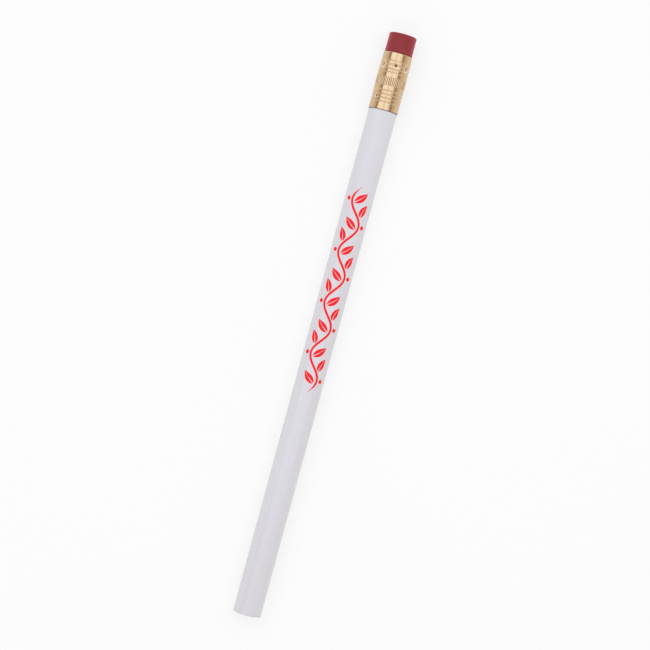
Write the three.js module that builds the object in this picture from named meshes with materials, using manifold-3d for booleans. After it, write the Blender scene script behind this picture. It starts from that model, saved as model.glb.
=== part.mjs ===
// A giant round wooden pencil with a brass ferrule and a rubber eraser, lying on its side.
// Every piece is turned about the pencil's own axis, which is +Y here: y = 0 is the cut end and +Z is up.
// The exported group lays that axis along +X, with the origin on the floor under the middle of the pencil.

import * as THREE from 'three';
import { mergeVertices } from 'three/addons/utils/BufferGeometryUtils.js';
import Module from 'manifold-3d';

const wasm = await Module();
wasm.setup();

// Driving dimensions in millimetres.

// Barrel
const BARREL_LENGTH = 331.3; // from the cut end to the ferrule's lower rim
const BARREL_DIAMETER = 18.3; // over the lacquer
const LACQUER_THICKNESS = 0.25;
const CORE_DIAMETER = 6;
const GLUE_THICKNESS = 0.15;
const TENON_STEP = 0.2; // how much the wood is turned down where it enters the ferrule

// Ferrule, from each rim towards its middle: a plain rim band, a set of rings, a plain band, serrations
const FERRULE_WALL = 0.45;
const LOWER_RIM_BAND_LENGTH = 5.05;
const UPPER_RIM_BAND_LENGTH = 5.4;
const RING_PITCH = 2.42;
const RING_COUNT = 3; // in each set
const RING_DEPTH = 0.35; // from a ring's crest down to the groove beside it
const GROOVE_FLANK = 0.5; // length over which a plain band falls to the first groove
const MIDDLE_BAND_LENGTH = 2.95;
const SERRATION_LENGTH = 5.9;
const SERRATION_COUNT = 48;
const SERRATION_DEPTH = 0.25;
const SERRATION_RELIEF = 0.02; // serration tips lie this much inside the ring crests

// Prick-punched dimples on the middle ring of each set, which lock the wood and the rubber
const DIMPLE_DIAMETER = 1.6;
const DIMPLE_DEPTH = 0.9;
const DIMPLE_ROOT = 0.1; // how far the bump behind a dimple is buried in the wall
const LOWER_DIMPLE_COUNT = 3;
const LOWER_DIMPLE_START = THREE.MathUtils.degToRad(-44); // from straight up, towards the right side
const UPPER_DIMPLE_COUNT = 6;
const UPPER_DIMPLE_START = THREE.MathUtils.degToRad(4);

// Eraser
const ERASER_PROUD = 12.95; // beyond the ferrule's upper rim, at the middle of the end
const ERASER_BULGE = 0.15; // how much the free rubber is wider than the part squeezed by the rings
const ERASER_EDGE_RADIUS = 0.8;
const ERASER_CROWN = 0.35;
const ERASER_LEAD_IN = 1; // chamfer on the end that is pushed into the ferrule

// Clearances
const COAT_CLEARANCE = 0.02; // lacquer to wood, core to its groove
const FIT_CLEARANCE = 0.05; // wood and rubber to the ferrule that grips them
const RIM_CLEARANCE = 0.1; // lacquer and wood shoulder to the ferrule's lower rim
const PLUG_GAP = 0.3; // end of the wood to the end of the rubber, inside the ferrule
const POCKET_CLEARANCE = 0.1; // dimple to the pocket that it presses into wood or rubber

// Facets
const ROUND_SIDES = 48;
const RING_STEPS = 5; // along one ring, outside
const RING_STEPS_INSIDE = 3;
const CONE_SIDES = 10;
const EDGE_STEPS = 4;

// Sizes that follow from the ones above.
const barrelRadius = BARREL_DIAMETER / 2;
const coatRadius = barrelRadius - LACQUER_THICKNESS; // inside of the lacquer
const woodRadius = coatRadius - COAT_CLEARANCE;
const coreRadius = CORE_DIAMETER / 2;
const grooveRadius = coreRadius + COAT_CLEARANCE;
const tenonRadius = woodRadius - TENON_STEP;

const pressDepth = Math.max(RING_DEPTH, SERRATION_DEPTH);
const crestRadius = tenonRadius + FIT_CLEARANCE + FERRULE_WALL + pressDepth;
const ringRootRadius = crestRadius - RING_DEPTH;
const serrationTipRadius = crestRadius - SERRATION_RELIEF;
const serrationRootRadius = crestRadius - SERRATION_DEPTH;

const plugRadius = tenonRadius;
const eraserRadius = plugRadius + ERASER_BULGE;
const mouthRadius = eraserRadius + FIT_CLEARANCE + FERRULE_WALL; // outside of the upper rim band

const ringSetLength = RING_COUNT * RING_PITCH;
const ferruleBottom = BARREL_LENGTH;
const lowerRingsStart = ferruleBottom + LOWER_RIM_BAND_LENGTH;
const serrationStart = lowerRingsStart + ringSetLength + MIDDLE_BAND_LENGTH;
const serrationEnd = serrationStart + SERRATION_LENGTH;
const serrationMiddle = (serrationStart + serrationEnd) / 2;
const upperRingsStart = serrationEnd + MIDDLE_BAND_LENGTH;
const ferruleTop = upperRingsStart + ringSetLength + UPPER_RIM_BAND_LENGTH;
const shoulderHeight = ferruleBottom - RIM_CLEARANCE;
const tenonEnd = serrationMiddle - PLUG_GAP / 2;
const plugEnd = serrationMiddle + PLUG_GAP / 2;
const eraserTop = ferruleTop + ERASER_PROUD;

const facetAngle = (2 * Math.PI) / ROUND_SIDES;
const axisHeight = crestRadius * Math.cos(facetAngle / 2); // the ferrule rests on one of its flat facets

// Shared helpers

// Keeps only positions, joins equal corners and drops the triangles that a pole squeezes flat.
function weld(geometry) {
  const bare = geometry.clone();
  bare.deleteAttribute('normal');
  bare.deleteAttribute('uv');
  const welded = mergeVertices(bare);
  const kept = [];
  const corners = welded.index.array;
  for (let i = 0; i < corners.length; i += 3) {
    const [a, b, c] = corners.slice(i, i + 3);
    if (a !== b && b !== c && c !== a) {
      kept.push(a, b, c);
    }
  }
  welded.setIndex(kept);
  return welded;
}

function solidOf(geometry) {
  const welded = weld(geometry);
  const vertProperties = new Float32Array(welded.attributes.position.array);
  const triVerts = new Uint32Array(welded.index.array);
  return new wasm.Manifold(new wasm.Mesh({ numProp: 3, vertProperties, triVerts }));
}

function geometryOf(solid) {
  const mesh = solid.getMesh();
  const geometry = new THREE.BufferGeometry();
  geometry.setAttribute('position', new THREE.BufferAttribute(mesh.vertProperties, 3));
  geometry.setIndex(new THREE.BufferAttribute(mesh.triVerts, 1));
  return geometry;
}

// A profile of [radius, height] corners turned about the axis, with a flat facet straight up and down.
function turned(profile) {
  const points = profile.map(([radius, height]) => new THREE.Vector2(radius, height));
  return new THREE.LatheGeometry(points, ROUND_SIDES, facetAngle / 2);
}

// A profile that goes once round a hollow section and closes on its first corner.
function turnedRing(profile) {
  return turned([...profile, profile[0]]);
}

// A cone that points at the axis, with its tip at tipRadius and its base at baseRadius.
function inwardCone(tipRadius, baseRadius, slope, height, angle) {
  const length = baseRadius - tipRadius;
  const cone = new THREE.ConeGeometry(slope * length, length, CONE_SIDES);
  cone.rotateX(-Math.PI / 2);
  cone.translate(0, 0, tipRadius + length / 2);
  cone.rotateY(angle);
  cone.translate(0, height, 0);
  return solidOf(cone);
}

function block(xRange, yRange, zRange) {
  const [width, length, depth] = [xRange, yRange, zRange].map(([low, high]) => high - low);
  const [x, y, z] = [xRange, yRange, zRange].map(([low, high]) => (low + high) / 2);
  const box = new THREE.BoxGeometry(width, length, depth);
  box.translate(x, y, z);
  return solidOf(box);
}

function piece(name, geometry, colour, roughness, metalness = 0) {
  const welded = weld(geometry);
  welded.computeVertexNormals();
  const mesh = new THREE.Mesh(welded, new THREE.MeshStandardMaterial({ color: colour, roughness, metalness }));
  mesh.name = name;
  return mesh;
}

// Dimples: where they sit, and the cones that shape them

const dimpleSlope = DIMPLE_DIAMETER / 2 / DIMPLE_DEPTH;
const dimpleTip = crestRadius - DIMPLE_DEPTH;

function dimpleRow(count, start, ringsStart) {
  const height = ringsStart + (Math.floor(RING_COUNT / 2) + 0.5) * RING_PITCH;
  return Array.from({ length: count }, (_, i) => ({ height, angle: start + (i * 2 * Math.PI) / count }));
}

const lowerDimples = dimpleRow(LOWER_DIMPLE_COUNT, LOWER_DIMPLE_START, lowerRingsStart);
const upperDimples = dimpleRow(UPPER_DIMPLE_COUNT, UPPER_DIMPLE_START, upperRingsStart);

// Cuts the pockets that the dimples press into the wood or the rubber.
function withPockets(solid, dimples) {
  const tip = dimpleTip - FERRULE_WALL - POCKET_CLEARANCE;
  return dimples.reduce(
    (left, { height, angle }) => left.subtract(inwardCone(tip, crestRadius, dimpleSlope, height, angle)),
    solid,
  );
}

// Graphite core

function graphiteCore() {
  return turned([[0, 0], [coreRadius, 0], [coreRadius, tenonEnd], [0, tenonEnd]]);
}

// Wooden casing: two slats with half of the core's groove each, and a glue film either side of the core

const casing = withPockets(
  solidOf(turnedRing([
    [grooveRadius, 0],
    [woodRadius, 0],
    [woodRadius, shoulderHeight],
    [tenonRadius, shoulderHeight],
    [tenonRadius, tenonEnd],
    [grooveRadius, tenonEnd],
  ])),
  lowerDimples,
);

function casingPart(xRange, zRange) {
  return geometryOf(casing.intersect(block(xRange, [-BARREL_DIAMETER, eraserTop], zRange)));
}

const casingReach = [-BARREL_DIAMETER, BARREL_DIAMETER];
const seam = [-GLUE_THICKNESS / 2, GLUE_THICKNESS / 2];

// Lacquer

function lacquerCoat() {
  return turnedRing([
    [coatRadius, 0],
    [barrelRadius, 0],
    [barrelRadius, shoulderHeight],
    [coatRadius, shoulderHeight],
  ]);
}

// Ferrule

// One set of rings as [radius, height] corners: round crests between sharp grooves.
function ringSet(start, steps) {
  const corners = [];
  for (let i = 0; i <= RING_COUNT * steps; i += 1) {
    const crown = Math.abs(Math.sin((Math.PI * i) / steps));
    corners.push([ringRootRadius + RING_DEPTH * crown, start + (i * RING_PITCH) / steps]);
  }
  return corners;
}

// The outside of the tube from its lower rim to its upper rim, as deep as the bottoms of the serrations.
function ferruleOutside(steps) {
  const lowerRings = ringSet(lowerRingsStart, steps);
  const upperRings = ringSet(upperRingsStart, steps);
  return [
    [crestRadius, ferruleBottom],
    [crestRadius, lowerRingsStart - GROOVE_FLANK],
    ...lowerRings,
    [crestRadius, lowerRingsStart + ringSetLength + GROOVE_FLANK],
    [crestRadius, serrationStart],
    [serrationRootRadius, serrationStart],
    [serrationRootRadius, serrationEnd],
    [crestRadius, serrationEnd],
    [crestRadius, upperRingsStart - GROOVE_FLANK],
    ...upperRings,
    [mouthRadius, upperRingsStart + ringSetLength + GROOVE_FLANK],
    [mouthRadius, ferruleTop],
  ];
}

// A toothed ring whose ends and inside are buried in the tube's wall, so that only its teeth show.
function serrations() {
  const outline = new THREE.Shape();
  for (let i = 0; i < 2 * SERRATION_COUNT; i += 1) {
    const radius = i % 2 === 0 ? serrationTipRadius : serrationRootRadius;
    const angle = facetAngle / 2 + (i * Math.PI) / SERRATION_COUNT;
    const corner = [radius * Math.cos(angle), radius * Math.sin(angle)];
    if (i === 0) {
      outline.moveTo(...corner);
    } else {
      outline.lineTo(...corner);
    }
  }
  outline.closePath();
  const buried = FERRULE_WALL / 2;
  const hole = new THREE.Path();
  hole.absarc(0, 0, serrationRootRadius - buried, 0, 2 * Math.PI, true);
  outline.holes.push(hole);
  const depth = SERRATION_LENGTH + 2 * buried;
  const ring = new THREE.ExtrudeGeometry(outline, { depth, bevelEnabled: false, curveSegments: ROUND_SIDES });
  ring.rotateX(-Math.PI / 2);
  ring.translate(0, serrationMiddle - depth / 2, 0);
  return solidOf(ring);
}

function ferrule() {
  const outside = ferruleOutside(RING_STEPS);
  const inside = ferruleOutside(RING_STEPS_INSIDE).map(([radius, height]) => [radius - FERRULE_WALL, height]);
  let tube = solidOf(turnedRing([...outside, ...inside.reverse()])).add(serrations());
  for (const { height, angle } of [...lowerDimples, ...upperDimples]) {
    const bumpBase = crestRadius - FERRULE_WALL + DIMPLE_ROOT;
    tube = tube.add(inwardCone(dimpleTip - FERRULE_WALL, bumpBase, dimpleSlope, height, angle));
  }
  for (const { height, angle } of [...lowerDimples, ...upperDimples]) {
    tube = tube.subtract(inwardCone(dimpleTip, crestRadius + DIMPLE_DEPTH, dimpleSlope, height, angle));
  }
  return geometryOf(tube);
}

// Eraser

function eraser() {
  const squeezedEnd = upperRingsStart + ringSetLength;
  const flatRadius = eraserRadius - ERASER_EDGE_RADIUS;
  const edgeHeight = eraserTop - ERASER_CROWN - ERASER_EDGE_RADIUS;
  const profile = [
    [0, plugEnd],
    [plugRadius - ERASER_LEAD_IN, plugEnd],
    [plugRadius, plugEnd + ERASER_LEAD_IN],
    [plugRadius, squeezedEnd],
    [eraserRadius, squeezedEnd + GROOVE_FLANK],
  ];
  for (let i = 0; i <= EDGE_STEPS; i += 1) {
    const turn = (i * Math.PI) / 2 / EDGE_STEPS;
    const radius = flatRadius + ERASER_EDGE_RADIUS * Math.cos(turn);
    profile.push([radius, edgeHeight + ERASER_EDGE_RADIUS * Math.sin(turn)]);
  }
  for (let i = 1; i <= EDGE_STEPS; i += 1) {
    const share = 1 - i / EDGE_STEPS;
    profile.push([flatRadius * share, eraserTop - ERASER_CROWN * share ** 2]);
  }
  return geometryOf(withPockets(solidOf(turned(profile)), upperDimples));
}

// Assembly

const LACQUER_WHITE = 0xdad9df;
const WOOD = 0xd9b98c;
const GRAPHITE = 0x3b3b40;
const GLUE = 0xc9a86a;
const BRASS = 0xcfab7c;
const ERASER_RED = 0x963e43;

const pencil = new THREE.Group();
pencil.add(
  piece('graphite_core', graphiteCore(), GRAPHITE, 0.45),
  piece('casing_upper', casingPart(casingReach, [seam[1], BARREL_DIAMETER]), WOOD, 0.75),
  piece('casing_lower', casingPart(casingReach, [-BARREL_DIAMETER, seam[0]]), WOOD, 0.75),
  piece('glue_film_left', casingPart([-BARREL_DIAMETER, 0], seam), GLUE, 0.5),
  piece('glue_film_right', casingPart([0, BARREL_DIAMETER], seam), GLUE, 0.5),
  piece('lacquer_coat', lacquerCoat(), LACQUER_WHITE, 0.25),
  piece('ferrule', ferrule(), BRASS, 0.25, 1),
  piece('eraser', eraser(), ERASER_RED, 0.8),
);
pencil.rotation.z = -Math.PI / 2;
pencil.position.set(-eraserTop / 2, 0, axisHeight);

const part = new THREE.Group();
part.add(pencil);

export default part;
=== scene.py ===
import math

import bpy
import numpy as np
from mathutils import Matrix, Vector

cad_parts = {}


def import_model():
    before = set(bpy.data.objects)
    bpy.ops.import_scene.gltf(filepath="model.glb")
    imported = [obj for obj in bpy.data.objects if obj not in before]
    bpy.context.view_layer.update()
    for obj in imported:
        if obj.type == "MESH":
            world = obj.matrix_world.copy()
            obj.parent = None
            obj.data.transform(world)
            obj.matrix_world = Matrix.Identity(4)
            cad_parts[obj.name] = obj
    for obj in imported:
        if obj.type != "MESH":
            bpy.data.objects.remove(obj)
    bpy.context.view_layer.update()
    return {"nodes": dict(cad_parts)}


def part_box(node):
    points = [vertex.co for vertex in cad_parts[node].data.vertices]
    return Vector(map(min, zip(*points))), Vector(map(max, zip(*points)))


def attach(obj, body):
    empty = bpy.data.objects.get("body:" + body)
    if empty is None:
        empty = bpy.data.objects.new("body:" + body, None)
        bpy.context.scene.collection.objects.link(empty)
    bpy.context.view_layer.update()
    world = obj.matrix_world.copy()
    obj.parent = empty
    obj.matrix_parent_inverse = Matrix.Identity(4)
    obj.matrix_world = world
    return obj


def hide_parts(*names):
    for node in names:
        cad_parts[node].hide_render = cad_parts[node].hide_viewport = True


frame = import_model()

# A giant round pencil lying along +X, with its cut end at low x and its eraser at high x.
# Lengths are in metres. An angle round the pencil is counted from straight up towards -Y.
# On the ferrule, "along" is the distance from its lower rim, which is the one on the barrel.

MM = 0.001
MICRON = 1e-6
CAD_SIDES = 48  # facets of the solids, which are flat at the sides, so a box measures across flats
EDGE_ROWS = 5  # rows of points round a small rounded edge


def cad_radius(node):
    low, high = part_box(node)
    return (high.y - low.y) / 2 / math.cos(math.pi / CAD_SIDES)


# Sizes read from the frame
AXIS_Z = (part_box("ferrule")[0].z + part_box("ferrule")[1].z) / 2
CUT_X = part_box("lacquer_coat")[0].x
LACQUER_END_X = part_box("lacquer_coat")[1].x
TENON_END_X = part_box("casing_upper")[1].x
FERRULE_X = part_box("ferrule")[0].x
FERRULE_END_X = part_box("ferrule")[1].x
PLUG_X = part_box("eraser")[0].x
ERASER_END_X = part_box("eraser")[1].x
BARREL_RADIUS = cad_radius("lacquer_coat")
CORE_RADIUS = cad_radius("graphite_core")
CREST_RADIUS = cad_radius("ferrule")
ERASER_RADIUS = cad_radius("eraser")
WOOD_RADIUS = cad_radius("casing_upper")
SEAM_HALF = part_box("casing_upper")[0].z - AXIS_Z
FERRULE_LENGTH = FERRULE_END_X - FERRULE_X

# Lacquer
LACQUER_THICKNESS = 0.25 * MM
LACQUER_EDGE = 0.09 * MM  # rounding of the paint at both ends
LACQUER_SWELL = 0.006 * MM  # how uneven the coat is
LACQUER_SIDES = 320
LACQUER_STEP = 2.2 * MM
CHIPPED_LENGTH = 2 * MM  # at the cut end, which has finer steps
CHIPPED_STEP = 0.25 * MM
CHIP_SEED = 11
CHIP_COUNT = 7
CHIP_DEPTHS = (0.12 * MM, 0.42 * MM)
CHIP_HALVES = (0.02, 0.07)  # half of a chip's width, as an angle in radians
CHIP_REACH = 1.6 * MM  # how far along the barrel a chip can draw the paint's edge
FRAYED_EDGE = 0.03 * MM  # height of the small waves all along the paint's cut edge

# Wood and lead
TENON_STEP = 0.2 * MM  # the wood is turned down by this inside the ferrule
CORE_CLEARANCE = 0.02 * MM
END_INSET = 1 * MM  # first step away from an edge
SLAT_STEP = 12 * MM
TENON_ROW_STEP = 0.8 * MM
GROOVE_STEP = 40 * MM
SLAT_COLUMNS = 121
SLAT_SHARP = math.radians(35)  # an edge that turns by more than this stays sharp
SAWN_ROWS = 28
SAWN_SETBACK = 0.03 * MM  # how far the sawn wood stands back from the end of the solid
SAWN_ROUGHNESS = 0.016 * MM
SAWN_DEEPEST = 0.09 * MM
LEAD_SIDES = 96
LEAD_ROWS = 22
LEAD_STEP = 20 * MM
LEAD_SETBACK = 0.02 * MM
LEAD_ROUGHNESS = 0.008 * MM
LEAD_EDGE = 0.12 * MM
LEAD_EDGE_ROWS = 4
LEAD_SHARP = math.radians(50)
LEAD_CRUMBLING = 0.05 * MM  # how deep the lead's edge has crumbled
YEAR_WIDTH = 1.35 * MM  # distance between growth rings
UPPER_PITH = (21 * MM, 17 * MM)  # middle of the upper slat's growth rings: y, and height above the axis
LOWER_PITH = (-26 * MM, -12 * MM)

# Ferrule, with grooves that are a little shallower and narrower than in the solid
WALL = 0.45 * MM
LOWER_RIM_BAND = 5.05 * MM
UPPER_RIM_BAND = 5.4 * MM
RING_PITCH = 2.42 * MM
RING_COUNT = 3
RING_DEPTH = 0.32 * MM
RING_FLATNESS = 0.45  # below 1, the crests are flatter and the grooves narrower than a half wave
GROOVE_BLUNTNESS = 0.002  # keeps the bottom of a groove from being a sharp crease
GROOVE_FLANK = 0.5 * MM
MIDDLE_BAND = 2.95 * MM
SERRATION_LENGTH = 5.9 * MM
SERRATION_COUNT = 48
SERRATION_DEPTH = 0.3 * MM
SERRATION_LAND = 0.7  # sine of half the turn from a flute's root to the flat land beside it
SERRATION_RUNOUT = 0.55 * MM  # length over which a flute fades into the plain band
FIT_CLEARANCE = 0.05 * MM
LOWER_ROUNDING = 0.14 * MM
MOUTH_ROUNDING = 0.38 * MM
MOUTH_ROWS = 9
FERRULE_UNEVENNESS = 0.014 * MM
FERRULE_SIDES = 384
OUTSIDE_STEPS = (0.136 * MM, 0.7 * MM)  # longest steps over the rings, and over the plain bands
INSIDE_STEPS = (0.36 * MM, 2.4 * MM)

# Eraser
ERASER_EDGE = 0.8 * MM
ERASER_EDGE_ROWS = 12
ERASER_CROWN = 0.35 * MM
ERASER_LEAD_IN = 1.0 * MM
ERASER_BULGE = 0.15 * MM  # how much thicker the rubber is outside the grip of the rings
ERASER_SIDES = 224
PLUG_STEP = 0.4 * MM
MOUTH_STEP = 0.8 * MM
SIDE_STEP = 0.35 * MM
SIDE_LUMPS = 0.018 * MM
END_LUMPS = 0.014 * MM
EDGE_UNEVENNESS = 0.06  # as a share of the edge's rounding
RIM_SWELL = 0.07 * MM  # the rubber swells a little above the ferrule's rim
RIM_SWELL_PLACE = 1.2 * MM
RIM_SWELL_WIDTH = 0.8 * MM
CREASE_DEPTH = 0.16 * MM  # and it is nipped at the rim itself
CREASE_FADE = (0.1 * MM, 0.8 * MM)
CREASE_START = 0.15 * MM  # between these two, above the rim, the steps are finer
CREASE_END = 1.0 * MM
CREASE_STEP = 0.17 * MM

MOUTH_RADIUS = ERASER_RADIUS + FIT_CLEARANCE + WALL
TENON_RADIUS = WOOD_RADIUS - TENON_STEP
RING_SET = RING_COUNT * RING_PITCH
LOWER_RINGS = LOWER_RIM_BAND
FLUTES_START = LOWER_RINGS + RING_SET + MIDDLE_BAND
FLUTES_END = FLUTES_START + SERRATION_LENGTH
UPPER_RINGS = FERRULE_LENGTH - UPPER_RIM_BAND - RING_SET


# Mesh helpers


def turn(x, radius, angle):
    """Points at that distance from the pencil's axis, at that angle from straight up towards -Y."""
    x, radius, angle = np.broadcast_arrays(x, radius, angle)
    return np.stack((x, -radius * np.sin(angle), AXIS_Z + radius * np.cos(angle)), axis=-1)


def around(sides):
    return np.arange(sides) * 2 * np.pi / sides


def turn_between(angle, place):
    """The shorter turn from a place round the pencil to an angle."""
    return np.angle(np.exp(1j * (angle - place)))


def steps(*stretches):
    """Places along a line: each stretch is (start, end, longest step), and the last end is included."""
    places = []
    for start, end, longest in stretches:
        count = max(1, math.ceil(abs(end - start) / longest))
        places.append(np.linspace(start, end, count, endpoint=False))
    return np.concatenate([*places, [stretches[-1][1]]])


def smooth_step(low, high, value):
    share = np.clip((value - low) / (high - low), 0, 1)
    return share * share * (3 - 2 * share)


def bowl(share):
    """Depth of a shallow round hollow, 1 in its middle, at a share of its radius."""
    return np.clip(1 - share ** 2, 0, 1) ** 2


def ripples(seed, count, longest, shortest, turns):
    """An uneven height of about -1 to 1 over (x, angle): seeded waves of mixed length and direction."""
    rng = np.random.default_rng(seed)
    lengths = np.exp(rng.uniform(math.log(shortest), math.log(longest), count))
    lobes = rng.integers(-turns, turns + 1, count)
    phases = rng.uniform(0, 2 * np.pi, count)

    def height(x, angle):
        total = 0.0
        for length, lobe, phase in zip(lengths, lobes, phases):
            total = total + np.sin(2 * np.pi * x / length + lobe * angle + phase)
        return total / math.sqrt(count)

    return height


def edge_ripples(angle, seed, count, turns):
    """The same round an edge, at x = 0, where the lengths of the waves have no effect."""
    return ripples(seed, count, longest=1.0, shortest=0.5, turns=turns)(0.0, angle)


def mesh_object(name, points, faces, material):
    mesh = bpy.data.meshes.new(name)
    mesh.from_pydata(points, [], faces)
    mesh.shade_smooth()
    mesh.materials.append(material)
    made = bpy.data.objects.new(name, mesh)
    bpy.context.scene.collection.objects.link(made)
    return made


def grid_faces(rows, columns, start=0, wrap=True, closed=False):
    """Quads of a grid of points, which face the viewer who sees rows go right and columns go up."""
    row = np.arange(rows if closed else rows - 1)[:, None]
    column = np.arange(columns if wrap else columns - 1)[None, :]
    first = row * columns
    second = ((row + 1) % rows) * columns
    next_column = (column + 1) % columns
    corners = (first + column, first + next_column, second + next_column, second + column)
    return (start + np.stack(corners, axis=-1).reshape(-1, 4)).tolist()


def sleeve(name, rows, material):
    """A hollow turned piece: its rows go along the outside and back along the inside."""
    rows = np.asarray(rows)
    count, sides = rows.shape[:2]
    return mesh_object(name, rows.reshape(-1, 3).tolist(), grid_faces(count, sides, closed=True), material)


def turned_solid(name, rows, material):
    """A solid turned piece: its rows go from one end's middle to the other's."""
    rows = np.asarray(rows)
    count, sides = rows.shape[:2]
    points = rows.reshape(-1, 3).tolist()
    first, last = len(points), len(points) + 1
    points += [rows[0].mean(axis=0).tolist(), rows[-1].mean(axis=0).tolist()]
    faces = grid_faces(count, sides)
    end = (count - 1) * sides
    for side in range(sides):
        after = (side + 1) % sides
        faces.append((after, side, first))
        faces.append((end + side, end + after, last))
    return mesh_object(name, points, faces, material)


def add_point_values(made, name, values):
    attribute = made.data.attributes.new(name, "FLOAT", "POINT")
    attribute.data.foreach_set("value", np.asarray(values, np.float32).ravel())


def seat(made, node):
    """The piece stands for a CAD node and rides with the pencil."""
    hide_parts(node)
    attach(made, "root")


# Materials

# How far each darkening reaches, from where it is full to where it ends
CUT_DARKENING = (0.1 * MM, 0.9 * MM)  # on the lacquer, from the cut end
# The lacquer's darkening next to the ferrule's rim is painted shade with a little soiling.
RIM_SHADE = (0.1 * MM, 0.45 * MM)  # on the lacquer, from the ferrule's rim
# The rubber's darkening next to the ferrule's rim is painted shade with a little soiling.
CREASE_SHADE = (0.2 * MM, 0.75 * MM)  # on the rubber, from the ferrule's rim
GRAPHITE_DUST = (3.0 * MM, 4.6 * MM)  # on the sawn wood, from the axis


def linear(red, green, blue):
    """A colour given as 0 to 255 screen values, as the shader takes it."""
    def channel(value):
        share = value / 255
        return share / 12.92 if share <= 0.04045 else ((share + 0.055) / 1.055) ** 2.4

    return (channel(red), channel(green), channel(blue), 1.0)


class Nodes:
    """A material's node tree with short ways to add what the materials here need."""

    def __init__(self, name):
        self.material = bpy.data.materials.new(name)
        self.material.use_nodes = True
        self.tree = self.material.node_tree
        self.shader = self.tree.nodes["Principled BSDF"]
        self.place = self.add("ShaderNodeTexCoord").outputs["Object"]

    def add(self, kind, **settings):
        node = self.tree.nodes.new(kind)
        for name, value in settings.items():
            setattr(node, name, value)
        return node

    def link(self, value, socket):
        self.tree.links.new(value, socket)

    def set(self, **values):
        for name, value in values.items():
            self.shader.inputs[name.replace("_", " ")].default_value = value

    def feed(self, name, value):
        self.link(value, self.shader.inputs[name])

    def scaled(self, x, y, z):
        """The place in the frame, stretched: a pattern is long where the scale is small."""
        node = self.add("ShaderNodeVectorMath", operation="MULTIPLY")
        self.link(self.place, node.inputs[0])
        node.inputs[1].default_value = (x, y, z)
        return node.outputs[0]

    def noise(self, vector, scale=1.0, detail=3.0, roughness=0.5):
        node = self.add("ShaderNodeTexNoise")
        self.link(vector, node.inputs["Vector"])
        node.inputs["Scale"].default_value = scale
        node.inputs["Detail"].default_value = detail
        node.inputs["Roughness"].default_value = roughness
        return node.outputs["Fac"]

    def cells(self, vector, scale):
        node = self.add("ShaderNodeTexVoronoi")
        self.link(vector, node.inputs["Vector"])
        node.inputs["Scale"].default_value = scale
        return node.outputs["Distance"]

    def spread(self, value, low, high, to_low=0.0, to_high=1.0):
        """Maps low..high to to_low..to_high, held at its ends."""
        node = self.add("ShaderNodeMapRange")
        self.link(value, node.inputs["Value"])
        numbers = {"From Min": low, "From Max": high, "To Min": to_low, "To Max": to_high}
        for name, number in numbers.items():
            node.inputs[name].default_value = number
        return node.outputs["Result"]

    def math(self, operation, a, b=0.0):
        node = self.add("ShaderNodeMath", operation=operation)
        for socket, value in zip(node.inputs, (a, b)):
            if isinstance(value, (int, float)):
                socket.default_value = value
            else:
                self.link(value, socket)
        return node.outputs[0]

    def mix(self, share, a, b):
        """A colour between a and b; each is a colour or a socket."""
        node = self.add("ShaderNodeMix", data_type="RGBA")
        self.link(share, node.inputs["Factor"])
        for socket, value in ((node.inputs[6], a), (node.inputs[7], b)):
            if isinstance(value, tuple):
                socket.default_value = value
            else:
                self.link(value, socket)
        return node.outputs[2]

    def bump(self, *heights):
        """Each height is (value, distance in metres), laid over the ones before it."""
        normal = None
        for value, distance in heights:
            node = self.add("ShaderNodeBump")
            node.inputs["Distance"].default_value = distance
            self.link(value, node.inputs["Height"])
            if normal is not None:
                self.link(normal, node.inputs["Normal"])
            normal = node.outputs["Normal"]
        self.feed("Normal", normal)

    def point_value(self, name):
        return self.add("ShaderNodeAttribute", attribute_name=name).outputs["Fac"]

    def distance_from(self, x):
        """How far along the pencil a point is from that x, either way, in metres."""
        split = self.add("ShaderNodeSeparateXYZ")
        self.link(self.place, split.inputs[0])
        return self.math("ABSOLUTE", self.math("SUBTRACT", split.outputs["X"], x))

    def length_from(self, vector, point):
        """Distance of a vector's end from a point."""
        moved = self.add("ShaderNodeVectorMath", operation="SUBTRACT")
        self.link(vector, moved.inputs[0])
        moved.inputs[1].default_value = point
        length = self.add("ShaderNodeVectorMath", operation="LENGTH")
        self.link(moved.outputs[0], length.inputs[0])
        return length.outputs["Value"]


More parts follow.
